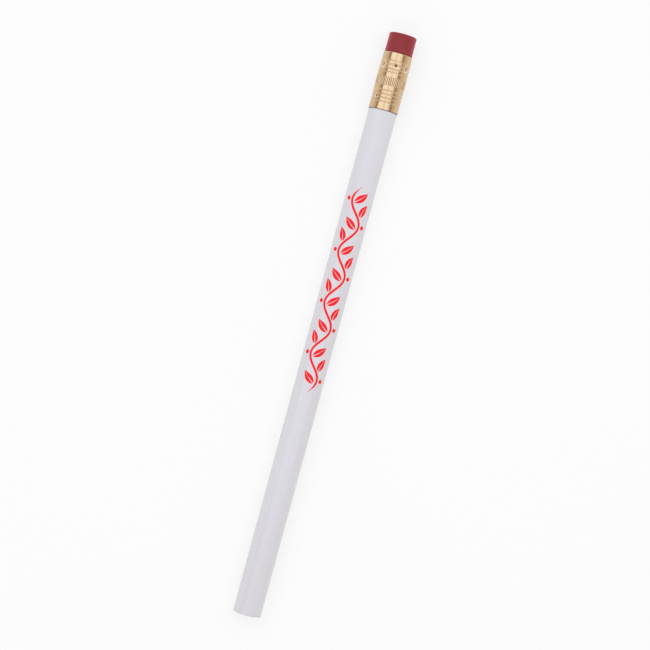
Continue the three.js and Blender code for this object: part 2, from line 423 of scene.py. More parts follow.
def lacquer_material():
    """White paint with faint streaks and specks of dust, darker grey in patches near the cut end, and
    painted shade with a little soiling next to the ferrule's rim.
    """
    dull, pale = linear(216, 214, 219), linear(222, 220, 225)
    dust_grey, darkening_grey = linear(178, 174, 172), linear(128, 122, 122)
    look = Nodes("white_lacquer")
    look.set(IOR=1.5, Specular_IOR_Level=0.34, Coat_Weight=0.05, Coat_Roughness=0.05)
    streaks = look.noise(look.scaled(7, 380, 380), detail=3)
    tint = look.mix(look.spread(streaks, 0.32, 0.68), dull, pale)
    specks = look.spread(look.cells(look.place, 420), 0.03, 0.06, 1, 0)
    rare = look.spread(look.noise(look.place, 190, 1), 0.62, 0.66)
    dust = look.math("MULTIPLY", look.math("MULTIPLY", specks, rare), 0.5)
    dusty = look.mix(dust, tint, dust_grey)
    patchy = look.noise(look.scaled(260, 420, 420), detail=4)
    # Darker grey in patches near the cut end, and painted shade with a little soiling where the lacquer
    # meets the ferrule's rim.
    near_cut = look.spread(look.distance_from(CUT_X), *CUT_DARKENING, 0.5, 0)
    rim_shade = look.spread(look.distance_from(LACQUER_END_X), *RIM_SHADE, 0.75, 0)
    sawn = look.math("MULTIPLY", near_cut, look.spread(patchy, 0.35, 0.6))
    seam = look.math("MULTIPLY", rim_shade, look.spread(patchy, 0.2, 0.5))
    look.feed("Base Color", look.mix(look.math("MAXIMUM", sawn, seam), dusty, darkening_grey))
    scratches = look.noise(look.scaled(26, 5200, 5200), detail=2)
    hazy = look.noise(look.scaled(60, 160, 160), detail=3)
    scratched = look.spread(scratches, 0.62, 0.7, 0, 0.1)
    look.feed("Roughness", look.math("ADD", scratched, look.spread(hazy, 0.3, 0.7, 0.12, 0.2)))
    grain = look.noise(look.scaled(22, 1300, 1300), detail=3)
    peel = look.noise(look.place, 620, 2)
    look.bump((grain, 2.2 * MICRON), (peel, 2.6 * MICRON))
    return look.material


def brass_material():
    """Drawn brass, with a painted highlight rubbed onto the dents' rims, dirty in its grooves, flutes and
    dents, and with painted shade at its rims and in its prick marks, black past 1.
    """
    pale, deep, freckle = linear(212, 185, 149), linear(208, 177, 139), linear(186, 150, 107)
    rubbed_highlight_colour, dirt_and_shade_colour, soot_and_shade_colour = linear(240, 222, 194), linear(140, 91, 45), linear(84, 50, 24)
    look = Nodes("ferrule_brass")
    look.set(Metallic=1.0)
    patches = look.noise(look.scaled(90, 160, 160), detail=5, roughness=0.6)
    bright = look.mix(look.spread(patches, 0.35, 0.7), pale, deep)
    freckles = look.noise(look.scaled(700, 1100, 1100), detail=3, roughness=0.6)
    stained = look.mix(look.spread(freckles, 0.56, 0.78, 0, 0.4), bright, freckle)
    # The rubbed brightness on the dents' rims is a painted highlight.
    rubbed = look.mix(look.point_value("rubbed_highlight"), stained, rubbed_highlight_colour)
    # Darkening: soiling in grooves, flutes and dents, and painted shade at both rims and in the prick
    # marks, near black past 1.
    grime_and_shade = look.point_value("grime_and_shade")
    grime_and_shade_share = look.math("MULTIPLY", look.spread(grime_and_shade, 0.1, 1.1), look.spread(patches, 0.2, 0.6, 0.5, 0.9))
    grimy_and_shaded = look.mix(grime_and_shade_share, rubbed, dirt_and_shade_colour)
    look.feed("Base Color", look.mix(look.spread(grime_and_shade, 1.15, 1.6), grimy_and_shaded, soot_and_shade_colour))
    draw_lines = look.noise(look.scaled(60, 6500, 6500), detail=2)
    rough = look.math("ADD", look.spread(patches, 0.3, 0.75, 0.1, 0.19), look.math("MULTIPLY", grime_and_shade_share, 0.25))
    look.feed("Roughness", look.math("ADD", rough, look.spread(draw_lines, 0.6, 0.75, 0, 0.12)))
    rolled = look.noise(look.scaled(7000, 120, 120), detail=2)
    look.bump((draw_lines, 1.1 * MICRON), (rolled, 0.9 * MICRON), (freckles, 2.0 * MICRON))
    return look.material


def rubber_material():
    """Dull red rubber with pale grains, rubbed paler where "worn" says, and darker next to the ferrule's
    rim with painted shade and a little soiling.
    """
    deep, warm, grain = linear(134, 31, 39), linear(144, 38, 46), linear(180, 92, 96)
    pale, dirt_and_shade_colour, bloom = linear(172, 84, 90), linear(96, 30, 34), linear(255, 128, 140)
    look = Nodes("eraser_rubber")
    look.set(IOR=1.42, Sheen_Weight=1.0, Sheen_Roughness=0.42, Sheen_Tint=bloom)
    cloud = look.noise(look.place, 260, 4, 0.6)
    red = look.mix(look.spread(cloud, 0.3, 0.7), deep, warm)
    grains = look.spread(look.cells(look.place, 2600), 0.12, 0.3, 1, 0)
    some = look.spread(look.noise(look.place, 900, 2), 0.5, 0.62)
    speckled = look.mix(look.math("MULTIPLY", look.math("MULTIPLY", grains, some), 0.35), red, grain)
    rim = look.math("MULTIPLY", look.point_value("worn"), look.spread(cloud, 0.35, 0.65, 0.1, 0.5))
    rubbed = look.mix(rim, speckled, pale)
    # Painted shade with a little soiling on the rubber next to the ferrule's rim.
    crease = look.spread(look.distance_from(FERRULE_END_X), *CREASE_SHADE, 0.75, 0)
    look.feed("Base Color", look.mix(crease, rubbed, dirt_and_shade_colour))
    look.feed("Roughness", look.spread(cloud, 0.3, 0.7, 0.48, 0.64))
    pits = look.spread(look.cells(look.place, 1500), 0.0, 0.35)
    fine = look.noise(look.place, 4200, 3, 0.6)
    look.bump((pits, 9 * MICRON), (fine, 14 * MICRON))
    return look.material


def wood_material(name, pith):
    """Pale wood: growth rings on the end, long fibres on the sides, graphite dust near the core."""
    early, late, dark = linear(228, 200, 160), linear(196, 155, 108), linear(160, 118, 76)
    saw_mark, dust_grey = linear(146, 112, 78), linear(92, 84, 78)
    pith_y, pith_rise = pith
    look = Nodes(name)
    look.set(IOR=1.45)
    from_pith = look.length_from(look.scaled(0.02, 1, 1), (0, pith_y, AXIS_Z + pith_rise))
    wobble = look.noise(look.scaled(4, 210, 210), detail=4)
    years = look.math("ADD", look.math("DIVIDE", from_pith, YEAR_WIDTH), look.math("MULTIPLY", wobble, 1.6))
    season = look.math("FRACT", years)
    lateness = look.math("MINIMUM", look.spread(season, 0.25, 0.9), look.spread(season, 0.92, 1.0, 1, 0))
    ringed = look.mix(lateness, early, late)
    fibre = look.noise(look.scaled(60, 9000, 9000), detail=3)
    streaked = look.mix(look.spread(fibre, 0.45, 0.75, 0, 0.5), ringed, dark)
    sawn = look.noise(look.scaled(0, 250, 7000), detail=3)
    marked = look.mix(look.spread(sawn, 0.55, 0.8, 0, 0.3), streaked, saw_mark)
    from_axis = look.length_from(look.scaled(0, 1, 1), (0, 0, AXIS_Z))
    near_core = look.spread(from_axis, *GRAPHITE_DUST, 0.6, 0)
    dust = look.math("MULTIPLY", near_core, look.spread(sawn, 0.3, 0.7))
    look.feed("Base Color", look.mix(dust, marked, dust_grey))
    look.feed("Roughness", look.spread(fibre, 0.3, 0.7, 0.62, 0.85))
    look.bump((fibre, 18 * MICRON), (sawn, 16 * MICRON))
    return look.material


def graphite_material():
    """Dark lead with the saw's bright marks."""
    dark, mid, bright = linear(40, 40, 44), linear(56, 56, 61), linear(84, 84, 90)
    look = Nodes("graphite")
    look.set(IOR=1.9, Metallic=0.35)
    cloud = look.noise(look.scaled(300, 900, 900), detail=4)
    sawn = look.noise(look.scaled(0, 250, 7000), detail=3)
    grey = look.mix(look.spread(cloud, 0.3, 0.7), dark, mid)
    look.feed("Base Color", look.mix(look.spread(sawn, 0.5, 0.75), grey, bright))
    look.feed("Roughness", look.spread(sawn, 0.3, 0.7, 0.3, 0.5))
    look.bump((sawn, 14 * MICRON), (look.noise(look.place, 5200, 2), 5 * MICRON))
    return look.material


def glue_material():
    """Dried yellow-brown wood glue."""
    brown, yellow = linear(170, 128, 74), linear(196, 156, 98)
    look = Nodes("glue")
    look.set(IOR=1.48)
    cloud = look.noise(look.scaled(40, 600, 600), detail=3)
    look.feed("Base Color", look.mix(look.spread(cloud, 0.3, 0.7), brown, yellow))
    look.feed("Roughness", look.spread(cloud, 0.3, 0.7, 0.35, 0.55))
    look.bump((cloud, 10 * MICRON))
    return look.material


def ink_material():
    """Bright red printing ink, a little mottled."""
    deep, thin = linear(247, 20, 26), linear(250, 34, 38)
    look = Nodes("print_ink")
    look.set(IOR=1.3)
    mottle = look.noise(look.place, 900, 4, 0.65)
    look.feed("Base Color", look.mix(look.spread(mottle, 0.3, 0.75), deep, thin))
    look.feed("Roughness", look.spread(mottle, 0.3, 0.7, 0.4, 0.55))
    look.bump((mottle, 2.5 * MICRON))
    return look.material


# Lacquer sleeve


def chipped_edge(angle):
    """How far the paint's edge is drawn back from the cut end: small waves, and a few chips."""
    rng = np.random.default_rng(CHIP_SEED)
    drawn_back = FRAYED_EDGE * (1 + edge_ripples(angle, seed=5, count=12, turns=60))
    for _ in range(CHIP_COUNT):
        middle = rng.uniform(0, 2 * np.pi)
        depth = rng.uniform(*CHIP_DEPTHS)
        half = rng.uniform(*CHIP_HALVES)
        drawn_back += depth * np.clip(1 - (turn_between(angle, middle) / half) ** 2, 0, 1)
    return drawn_back


def lacquer_coat(material):
    angle = around(LACQUER_SIDES)
    chips = chipped_edge(angle)
    swell = ripples(seed=8, count=9, longest=90 * MM, shortest=18 * MM, turns=3)
    inner = BARREL_RADIUS - LACQUER_THICKNESS
    near, far = CUT_X + LACQUER_EDGE, LACQUER_END_X - LACQUER_EDGE
    chipped_end = CUT_X + CHIPPED_LENGTH
    rows = []

    def outside(x, drop=0.0):
        fade = 1 - smooth_step(0, CHIP_REACH, x - CUT_X)
        radius = BARREL_RADIUS - drop + LACQUER_SWELL * swell(x, angle)
        rows.append(turn(x + chips * fade, radius, angle))

    for bend in np.linspace(math.pi / 2, 0, EDGE_ROWS):
        outside(CUT_X + LACQUER_EDGE * (1 - math.sin(bend)), LACQUER_EDGE * (1 - math.cos(bend)))
    for x in steps((near, chipped_end, CHIPPED_STEP), (chipped_end, far, LACQUER_STEP)):
        outside(x)
    for bend in np.linspace(0, math.pi / 2, EDGE_ROWS):
        outside(far + LACQUER_EDGE * math.sin(bend), LACQUER_EDGE * (1 - math.cos(bend)))
    for x in (LACQUER_END_X, 0.0, CUT_X + CHIP_REACH):
        rows.append(turn(x, inner, angle))
    rows.append(turn(CUT_X + chips, inner, angle))
    seat(sleeve("barrel_lacquer", rows, material), "lacquer_coat")


# Wooden slats


def slat_outline():
    """The outline as (x, radius): over the sawn end, along the outside, and back along the groove."""
    groove = CORE_RADIUS + CORE_CLEARANCE
    shoulder = LACQUER_END_X
    outline = [(CUT_X, radius) for radius in np.linspace(groove, WOOD_RADIUS, SAWN_ROWS)]
    outline += [(x, WOOD_RADIUS) for x in steps((CUT_X + END_INSET, shoulder, SLAT_STEP))]
    outline += [(shoulder, TENON_RADIUS)]
    outline += [(x, TENON_RADIUS) for x in steps((shoulder + END_INSET, TENON_END_X, TENON_ROW_STEP))]
    outline += [(TENON_END_X, groove)]
    outline += [(x, groove) for x in steps((TENON_END_X - SLAT_STEP, CUT_X + END_INSET, GROOVE_STEP))]
    return outline


def slat(name, node, material, upward):
    """Half of the casing: a turned outline swept over just under half a turn, closed by the flat seam."""
    share = np.linspace(-1, 1, SLAT_COLUMNS)
    torn = ripples(seed=23, count=14, longest=2.2 * MM, shortest=0.5 * MM, turns=9)
    rows = []
    for x, radius in slat_outline():
        angle = share * math.acos(SEAM_HALF / radius) + (0 if upward else math.pi)
        if x == CUT_X:
            sawn = edge_ripples(angle, seed=21, count=18, turns=40)
            rough = SAWN_ROUGHNESS * (sawn + torn(radius, angle))
            x = x + np.clip(SAWN_SETBACK + rough, 0, SAWN_DEEPEST)
        if radius == TENON_RADIUS:
            radius = np.minimum(radius, room_in_ferrule(x, angle))
        rows.append(turn(x, radius, angle))
    rows = np.asarray(rows)
    count, columns = rows.shape[:2]
    faces = grid_faces(count, columns, wrap=False, closed=True)
    faces.append([i * columns for i in range(count)])
    faces.append([i * columns + columns - 1 for i in reversed(range(count))])
    made = mesh_object(name, rows.reshape(-1, 3).tolist(), faces, material)
    made.data.set_sharp_from_angle(angle=SLAT_SHARP)
    seat(made, node)


# Graphite core


def graphite_core(material):
    angle = around(LEAD_SIDES)
    sawn = ripples(seed=31, count=16, longest=1.4 * MM, shortest=0.35 * MM, turns=7)
    crumbled = LEAD_CRUMBLING * np.clip(edge_ripples(angle, seed=33, count=12, turns=30), 0, 1)
    end_x = CUT_X + LEAD_SETBACK
    rows = []
    for radius in np.linspace(LEAD_EDGE, CORE_RADIUS - LEAD_EDGE, LEAD_ROWS):
        rows.append(turn(end_x + LEAD_ROUGHNESS * sawn(radius, angle), radius, angle))
    for bend in np.linspace(0, math.pi / 2, LEAD_EDGE_ROWS):
        radius = CORE_RADIUS - LEAD_EDGE * (1 - math.sin(bend)) - crumbled
        rows.append(turn(end_x + LEAD_EDGE * (1 - math.cos(bend)), radius, angle))
    for x in steps((CUT_X + END_INSET, TENON_END_X, LEAD_STEP)):
        rows.append(turn(x, CORE_RADIUS, angle))
    rows.append(turn(TENON_END_X, CORE_RADIUS / 2, angle))
    made = turned_solid("graphite_lead", rows, material)
    made.data.set_sharp_from_angle(angle=LEAD_SHARP)
    seat(made, "graphite_core")


# Ferrule

PRICK_DEPTH = 0.85 * MM
SKIRT_RADIUS = 6.5 * MM  # the metal bends in a little as far as this to both sides of a dimple
SKIRT_STRETCH = 1.6  # how much shorter a skirt is along the ferrule
DEEP_DENT = 0.5 * MM
LIGHT_DENT = 0.2 * MM
SLIGHT_DENT = 0.05 * MM
DENT_SPREAD = 0.3  # power by which a shallower dent is narrower too
# The rubbed brightness on a dent's rim is a painted highlight.
RUBBED_HIGHLIGHT_RIM = 0.85  # where a dent's rim is rubbed bright, as a share of its radius
RUBBED_HIGHLIGHT_WIDTH = 0.18  # how wide the rubbed rim is, as a share of the dent's radius
LEAST_REACH = 0.01 * MM  # so that nothing is divided by zero in the middle of a dent

# Darkening: soiling in the hollows, and painted shade at both rims and in the prick marks. How much there
# is, and between which values it goes from none to all
RING_GRIME = 0.1
FLUTE_GRIME = 1.5
FLUTE_DIRT = (0.35, 1)  # shares of a flute's depth
DENT_GRIME = 0.3
DENT_DIRT = (0.05, 0.35)  # shares of a deep dent's depth
PRICK_DIRT_AND_SHADE = (0.3, 0.5)  # shares of a prick mark's depth
# The next three paint shade along the lower rim, where the ferrule meets the barrel, and on the mouth's
# rounded rim.
LOWER_RIM_SHADE = 0.8
LOWER_RIM_SHADE_FADE = (0.08 * MM, 0.22 * MM)  # here it goes from all to none, along the ferrule
MOUTH_SHADE = (0.1 * MM, 0.35 * MM)  # depths below the outside of the mouth's rounded rim


class DimpleRow:
    """Prick marks round the ferrule, each in a round dent of the metal that was drawn in with it."""

    def __init__(self, along, dents, dent_radius, prick_radius, prick_grime_and_shade, skirt_depth, one_sided):
        self.along = along
        self.places = [math.radians(angle) for angle, _ in dents]
        self.depths = [depth for _, depth in dents]
        self.radii = [dent_radius * (depth / max(self.depths)) ** DENT_SPREAD for depth in self.depths]
        self.prick_radius = prick_radius
        self.prick_grime_and_shade = prick_grime_and_shade
        self.skirt_depth = skirt_depth
        # This moves the painted highlight on a dent's rim towards the side nearer the barrel.
        self.one_sided = one_sided  # 0 where a rim is rubbed evenly, 1 where its upper side isn't rubbed

    def reaches(self, along, angle, stretch=1.0):
        """Distances over the metal to the middles of the row's dimples."""
        turns = [turn_between(angle, place) for place in self.places]
        return [np.hypot(stretch * (along - self.along), CREST_RADIUS * turned) for turned in turns]

    def prick(self, along, angle):
        """Depth of the punch's conical marks, as a share."""
        nearest = np.minimum.reduce(self.reaches(along, angle))
        return np.clip(1 - nearest / self.prick_radius, 0, 1)

    def dent(self, along, angle):
        """Depth of the dents."""
        depth = 0.0
        for reach, deepest, radius in zip(self.reaches(along, angle), self.depths, self.radii):
            depth = depth + deepest * bowl(reach / radius)
        return depth

    def drop(self, along, angle):
        """How far the metal is drawn in."""
        nearest = np.minimum.reduce(self.reaches(along, angle, SKIRT_STRETCH))
        skirt = self.skirt_depth * bowl(nearest / SKIRT_RADIUS)
        return PRICK_DEPTH * self.prick(along, angle) + self.dent(along, angle) + skirt

    def grime_and_shade_share(self, along, angle):
        """How much the metal is darkened: some soiling in the dents, and most in the prick marks, where it
        is soiling and painted shade.
        """
        in_dents = DENT_GRIME * smooth_step(*DENT_DIRT, self.dent(along, angle) / DEEP_DENT)
        # Prick marks get soiling and painted shade, going towards black past 1.
        in_pricks = self.prick_grime_and_shade * smooth_step(*PRICK_DIRT_AND_SHADE, self.prick(along, angle))
        return np.maximum(in_dents, in_pricks)

    def rubbed_highlight_share(self, along, angle):
        """How far the rims of the dents are rubbed bright: a painted highlight."""
        bright = 0.0
        for reach, deepest, radius in zip(self.reaches(along, angle), self.depths, self.radii):
            off_rim = reach / radius - RUBBED_HIGHLIGHT_RIM
            side = 1 + self.one_sided * (self.along - along) / np.maximum(reach, LEAST_REACH)
            share = deepest / max(self.depths) * side / (1 + self.one_sided)
            bright = np.maximum(bright, share * np.exp(-((off_rim / RUBBED_HIGHLIGHT_WIDTH) ** 2)))
        return bright


# Each dent is (degrees round the ferrule, depth)
LOWER_DIMPLES = DimpleRow(
    along=LOWER_RINGS + 1.22 * RING_PITCH,
    dents=(
        (-45, SLIGHT_DENT),
        (76, SLIGHT_DENT),
        (196, SLIGHT_DENT),
    ),
    dent_radius=1.35 * MM,
    prick_radius=0.95 * MM,
    prick_grime_and_shade=2.0,
    skirt_depth=0.0,
    one_sided=0.0,
)
UPPER_DIMPLES = DimpleRow(
    along=UPPER_RINGS + 1.85 * RING_PITCH,
    dents=(
        (-57, DEEP_DENT),
        (3, LIGHT_DENT),
        (56, DEEP_DENT),
        (110, DEEP_DENT),
        (165, LIGHT_DENT),
        (236, DEEP_DENT),
    ),
    dent_radius=2.5 * MM,
    prick_radius=0.95 * MM,
    prick_grime_and_shade=1.05,
    skirt_depth=0.4 * MM,
    one_sided=0.5,
)


def ring_drop(along):
    """How far the rings fall below the crests: round crests with narrow grooves between them."""
    groove = 1 - GROOVE_BLUNTNESS ** (RING_FLATNESS / 2)
    drop = np.zeros_like(along)
    for start in (LOWER_RINGS, UPPER_RINGS):
        inside = (along - start) / RING_PITCH
        wave = np.sin(np.pi * np.clip(inside, 0, RING_COUNT)) ** 2
        crown = (wave + GROOVE_BLUNTNESS) ** (RING_FLATNESS / 2)
        fall = np.where((inside >= 0) & (inside <= RING_COUNT), 1 - np.minimum(crown, 1), 0)
        before = smooth_step(-GROOVE_FLANK, 0, along - start) * (inside < 0)
        after = smooth_step(-GROOVE_FLANK, 0, start + RING_SET - along) * (inside > RING_COUNT)
        drop = drop + RING_DEPTH * (fall + (before + after) * groove)
    return drop


def serration_drop(along, angle):
    """Straight flutes in the middle band that run out at both ends."""
    reach = np.abs(along - (FLUTES_START + FLUTES_END) / 2)
    depth = 1 - smooth_step(SERRATION_LENGTH / 2 - SERRATION_RUNOUT, SERRATION_LENGTH / 2, reach)
    tooth = np.abs(np.sin(SERRATION_COUNT * angle / 2)) / SERRATION_LAND
    return SERRATION_DEPTH * depth * (1 - np.minimum(tooth, 1))


def ferrule_radius(along, angle):
    """Outside radius of the ferrule. Its upper rim band is a little narrower than the rest."""
    rings_end = UPPER_RINGS + RING_SET
    narrowing = (CREST_RADIUS - MOUTH_RADIUS) * smooth_step(rings_end, rings_end + GROOVE_FLANK, along)
    rings = ring_drop(along)
    rings = np.where(along > rings_end, np.maximum(rings - narrowing, 0), rings)
    punched = LOWER_DIMPLES.drop(along, angle) + UPPER_DIMPLES.drop(along, angle)
    return CREST_RADIUS - narrowing - rings - serration_drop(along, angle) - punched


def room_in_ferrule(x, angle):
    """The greatest radius of what fits inside the ferrule, at a place in the frame."""
    return ferrule_radius(np.asarray(x - FERRULE_X, float), angle) - WALL - FIT_CLEARANCE


def ferrule_grime_and_shade(along, angle, rounding):
    """How much the metal is darkened: soiling in grooves, flutes and dimples, and painted shade on the
    rounded rims and in the prick marks.
    """
    rings = RING_GRIME * ring_drop(along) / RING_DEPTH
    flutes = FLUTE_GRIME * smooth_step(*FLUTE_DIRT, serration_drop(along, angle) / SERRATION_DEPTH)
    dimples = LOWER_DIMPLES.grime_and_shade_share(along, angle) + UPPER_DIMPLES.grime_and_shade_share(along, angle)
    # The lower rim, where the ferrule meets the barrel, and the mouth's rounded rim get painted shade.
    lower_rim = LOWER_RIM_SHADE * (1 - smooth_step(*LOWER_RIM_SHADE_FADE, along))
    mouth = smooth_step(*MOUTH_SHADE, rounding)
    return np.maximum(rings + flutes + dimples, lower_rim + mouth)


def ferrule_places(fine, coarse):
    """Places along the ferrule, with fine steps over its rings and the ends of its flutes."""
    starts = (
        (LOWER_ROUNDING, coarse),
        (LOWER_RINGS - GROOVE_FLANK, fine),
        (LOWER_RINGS, fine),
        (LOWER_RINGS + RING_SET, fine),
        (LOWER_RINGS + RING_SET + GROOVE_FLANK, coarse),
        (FLUTES_START, fine),
        (FLUTES_START + SERRATION_RUNOUT, coarse),
        (FLUTES_END - SERRATION_RUNOUT, fine),
        (FLUTES_END, coarse),
        (UPPER_RINGS - GROOVE_FLANK, fine),
        (UPPER_RINGS, fine),
        (UPPER_RINGS + RING_SET, fine),
        (UPPER_RINGS + RING_SET + GROOVE_FLANK, coarse),
    )
    ends = [start for start, _ in starts[1:]] + [FERRULE_LENGTH - MOUTH_ROUNDING]
    return steps(*((start, end, step) for (start, step), end in zip(starts, ends)))


def ferrule(material):
    angle = around(FERRULE_SIDES)
    end = FERRULE_LENGTH
    uneven = ripples(seed=41, count=14, longest=40 * MM, shortest=7 * MM, turns=6)
    rows, grime_and_shade, rubbed_highlight = [], [], []

    def add(along, rounding, inside=False):
        place = np.asarray(along, float)
        radius = ferrule_radius(place, angle) + FERRULE_UNEVENNESS * uneven(along, angle)
        rows.append(turn(FERRULE_X + along, radius - rounding - (WALL if inside else 0), angle))
        # Darkening values: soiling and painted shade.
        grime_and_shade.append(np.broadcast_to(ferrule_grime_and_shade(place, angle, rounding), angle.shape))
        # The rubbed brightness on the dents' rims, a painted highlight.
        rubbed_highlight_share = np.maximum(LOWER_DIMPLES.rubbed_highlight_share(place, angle), UPPER_DIMPLES.rubbed_highlight_share(place, angle))
        rubbed_highlight.append(np.broadcast_to(rubbed_highlight_share, angle.shape))

    for bend in np.linspace(math.pi / 2, 0, EDGE_ROWS)[:-1]:
        add(LOWER_ROUNDING * (1 - math.sin(bend)), LOWER_ROUNDING * (1 - math.cos(bend)))
    for along in ferrule_places(*OUTSIDE_STEPS):
        add(along, 0.0)
    for bend in np.linspace(0, math.pi / 2, MOUTH_ROWS)[1:]:
        add(end - MOUTH_ROUNDING * (1 - math.sin(bend)), MOUTH_ROUNDING * (1 - math.cos(bend)))
    for along in [end, *reversed(ferrule_places(*INSIDE_STEPS)), 0.0]:
        add(along, 0.0, inside=True)
    made = sleeve("ferrule_tube", rows, material)
    add_point_values(made, "grime_and_shade", grime_and_shade)
    add_point_values(made, "rubbed_highlight", rubbed_highlight)
    seat(made, "ferrule")


# Eraser

# How far the rubber is rubbed pale
SIDE_WEAR = 0.12
EDGE_WEAR = 0.25
EDGE_WEAR_MORE = 0.75  # added in the middle of the rounded edge
END_WEAR = 0.15
END_ROWS = 34
END_MIDDLE = 0.03  # the innermost of those rows, as a share of the flat end's radius
END_LUMP_SPAN = 9 * MM  # stretch of the lumps that the flat end shows
END_LUMP_FADE = 4  # the lumps fade over the inner quarter of the flat end


def eraser(material):
    angle = around(ERASER_SIDES)
    rim_x = FERRULE_END_X
    plug_radius = ERASER_RADIUS - ERASER_BULGE
    flat_radius = ERASER_RADIUS - ERASER_EDGE
    edge_x = ERASER_END_X - ERASER_CROWN - ERASER_EDGE
    lumps = ripples(seed=51, count=16, longest=14 * MM, shortest=2.5 * MM, turns=9)
    soft = ERASER_EDGE * (1 + EDGE_UNEVENNESS * edge_ripples(angle, seed=53, count=6, turns=4))
    squeezed = FERRULE_X + UPPER_RINGS + RING_SET
    creased = (rim_x + CREASE_START, rim_x + CREASE_END, CREASE_STEP)
    rows, worn = [], []

    def add(x, radius, wear=0.0):
        rows.append(turn(x, radius, angle))
        worn.append(np.broadcast_to(wear, angle.shape))

    def add_plug(x, radius):
        add(x, np.minimum(radius, room_in_ferrule(x, angle)))

    add(PLUG_X, plug_radius - ERASER_LEAD_IN)
    for x in steps((PLUG_X + ERASER_LEAD_IN, squeezed, PLUG_STEP)):
        add_plug(x, plug_radius)
    for x in steps((squeezed + GROOVE_FLANK, rim_x, MOUTH_STEP)):
        add_plug(x, ERASER_RADIUS)
    for x in steps(creased, (creased[1], edge_x, SIDE_STEP)):
        out = x - rim_x
        swell = RIM_SWELL * math.exp(-(((out - RIM_SWELL_PLACE) / RIM_SWELL_WIDTH) ** 2))
        crease = CREASE_DEPTH * (1 - smooth_step(*CREASE_FADE, out))
        add(x, ERASER_RADIUS + swell - crease + SIDE_LUMPS * lumps(x, angle), SIDE_WEAR)
    for bend in np.linspace(0, math.pi / 2, ERASER_EDGE_ROWS)[1:]:
        x = edge_x + ERASER_EDGE - soft + soft * math.sin(bend)
        radius = ERASER_RADIUS - soft + soft * math.cos(bend) + SIDE_LUMPS * lumps(x, angle)
        add(x, radius, EDGE_WEAR + EDGE_WEAR_MORE * math.sin(2 * bend))
    for share in np.linspace(1, END_MIDDLE, END_ROWS)[1:]:
        dome = ERASER_END_X - ERASER_CROWN * share ** 2
        uneven = END_LUMPS * lumps(share * END_LUMP_SPAN, angle) * min(1, END_LUMP_FADE * share)
        add(dome + uneven, flat_radius * share, END_WEAR)
    made = turned_solid("eraser_plug", rows, material)
    add_point_values(made, "worn", [*np.concatenate(worn), 0.0, END_WEAR])
    seat(made, "eraser")


# Printed ornament on the barrel: a running vine

PRINT_START = CUT_X + 147 * MM
PRINT_END = CUT_X + 281 * MM
PRINT_HEIGHT = 0.018 * MM
PRINT_SHARP = math.radians(40)
FILM_COLUMNS = 9
VINE_WAVES = 4
VINE_SWING = 4.3 * MM
STEM_HALF = 0.72 * MM
STEM_TAPER = 6 * MM  # length over which the stem thins towards both ends
STEM_TIP = 0.15  # width of a stem's tip, as a share
STEM_STEPS = 80  # in each wave
LEAF_VEIN = 0.55 * MM  # bare line along the middle of a leaf
VEIN_TAPER = 0.9  # how far the vein narrows towards the tip, as a share
LEAF_GAP = 0.45 * MM  # bare lacquer between a leaf's root and the stem
LEAF_SKEW = 0.85  # below 1, a leaf is widest nearer its root
LEAF_FULLNESS = 0.9  # below 1, a leaf's outline is fuller than a half wave
LEAF_STEPS = 28
BERRY_RADIUS = 1.3 * MM
BERRY_GAP = 0.75 * MM
BERRY_STEPS = 17
EDGE_SLIVER = 0.03 * MM  # least half width of an ink patch, so that no tip is a bare line


class Leaf:
    """A kind of leaf on the vine."""

    def __init__(self, place, outward, length, half, heading, bend):
        self.place = place  # on the stem, as a share of a wave from the crossing before it
        self.outward = outward  # 1 outside the stem's bend, -1 inside it
        self.length = length
        self.half = half  # half of its greatest width
        self.heading = math.radians(heading)  # from the barrel's axis, away from it where positive
        self.bend = math.radians(bend)  # how far it turns from root to tip


INNER_LEAF = Leaf(place=0.175, outward=-1, length=10.5 * MM, half=2.05 * MM, heading=-47, bend=20)
OUTER_LEAF = Leaf(place=0.40, outward=1, length=9.5 * MM, half=1.9 * MM, heading=20, bend=29)


def sideways(line):
    """Steps of unit length to the left of a line of places."""
    heading = np.gradient(line, axis=0)
    heading /= np.linalg.norm(heading, axis=1, keepdims=True)
    return np.stack((-heading[:, 1], heading[:, 0]), axis=1)


